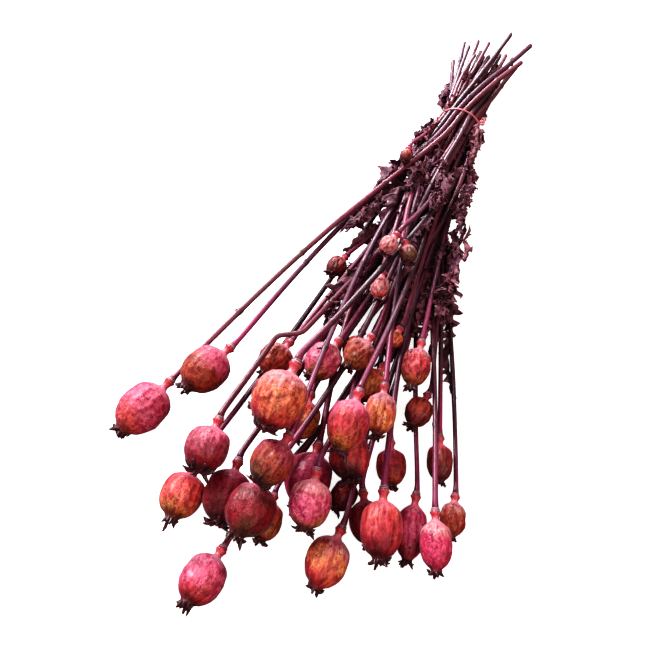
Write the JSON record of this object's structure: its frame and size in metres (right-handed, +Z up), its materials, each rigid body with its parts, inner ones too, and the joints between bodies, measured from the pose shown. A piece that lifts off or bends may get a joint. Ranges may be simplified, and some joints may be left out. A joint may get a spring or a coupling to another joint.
{
  "type": "dried poppy seed head bunch",
  "caption": "Bunch of dyed dried poppy stems with ribbed, crowned seed heads and crumpled leaves, tied near the cut ends and lying on its side.",
  "frame": {"origin": "middle of the box of the lying bunch, at the level of the surface that it rests on", "axes": "+Y along the stems, from the seed heads towards the cut ends; +Z up from the surface"},
  "size_m": [0.2588, 0.625, 0.0968],
  "materials": {
    "poppy": "dry plant tissue dyed pink to red: leathery, faintly glossy seed cases, darker crowns and woody stems",
    "leaf": "thin, brittle, crumpled dried leaf, dyed dark maroon, matt",
    "tie": "smooth pink elastic band, slightly shiny"
  },
  "bodies": {
    "root": {"poppy_01": "poppy", "poppy_02": "poppy", "poppy_03": "poppy", "poppy_04": "poppy", "poppy_05": "poppy", "poppy_06": "poppy", "poppy_07": "poppy", "poppy_08": "poppy", "poppy_09": "poppy", "poppy_10": "poppy", "poppy_11": "poppy", "poppy_12": "poppy", "poppy_13": "poppy", "poppy_14": "poppy", "poppy_15": "poppy", "poppy_16": "poppy", "poppy_17": "poppy", "poppy_18": "poppy", "poppy_19": "poppy", "poppy_20": "poppy", "poppy_21": "poppy", "poppy_22": "poppy", "poppy_23": "poppy", "poppy_24": "poppy", "poppy_25": "poppy", "poppy_26": "poppy", "poppy_27": "poppy", "poppy_28": "poppy", "poppy_29": "poppy", "poppy_30": "poppy", "poppy_31": "poppy", "poppy_32": "poppy", "poppy_33": "poppy", "poppy_34": "poppy", "poppy_35": "poppy", "poppy_36": "poppy", "poppy_37": "poppy", "poppy_38": "poppy", "poppy_39": "poppy", "leaf_01": "leaf", "leaf_02": "leaf", "leaf_03": "leaf", "leaf_04": "leaf", "leaf_05": "leaf", "leaf_06": "leaf", "leaf_07": "leaf", "leaf_08": "leaf", "leaf_09": "leaf", "leaf_10": "leaf", "leaf_11": "leaf", "leaf_12": "leaf", "leaf_13": "leaf", "leaf_14": "leaf", "leaf_15": "leaf", "leaf_16": "leaf", "leaf_17": "leaf", "leaf_18": "leaf", "leaf_19": "leaf", "leaf_20": "leaf", "tie": "tie"}
  },
  "joints": []
}
